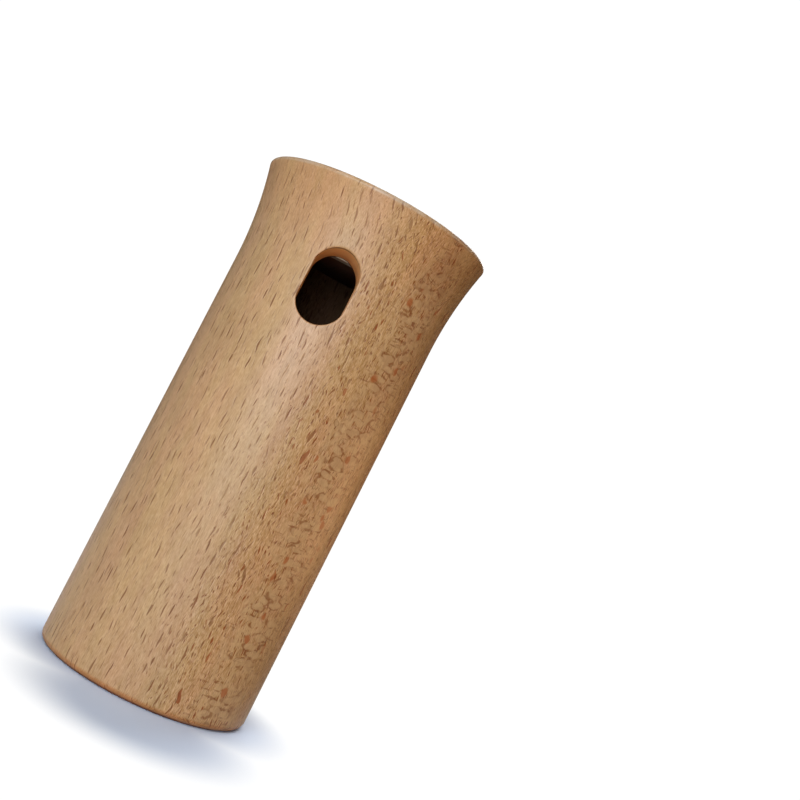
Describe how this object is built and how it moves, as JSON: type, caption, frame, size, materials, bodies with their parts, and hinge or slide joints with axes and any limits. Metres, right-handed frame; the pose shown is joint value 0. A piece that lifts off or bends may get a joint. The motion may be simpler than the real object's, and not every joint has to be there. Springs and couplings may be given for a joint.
{
  "type": "owl whistle",
  "caption": "Turned beech owl whistle: a tube flared at the lip, with an oval window near it, a mouthpiece block that leaves a windway, and an end plug that closes the sounding chamber.",
  "frame": {"origin": "middle of the foot, on the surface the whistle stands on", "axes": "+Z along the turned axis from the foot to the flared rim, -Y out of the window"},
  "size_m": [0.0468, 0.0468, 0.1],
  "materials": {
    "body_beech": "satin clear finish",
    "block_beech": "satin clear finish on end grain",
    "plug_beech": "satin clear finish on end grain"
  },
  "bodies": {
    "root": {"body": "body_beech", "mouthpiece_block": "block_beech", "end_plug": "plug_beech"}
  },
  "joints": []
}
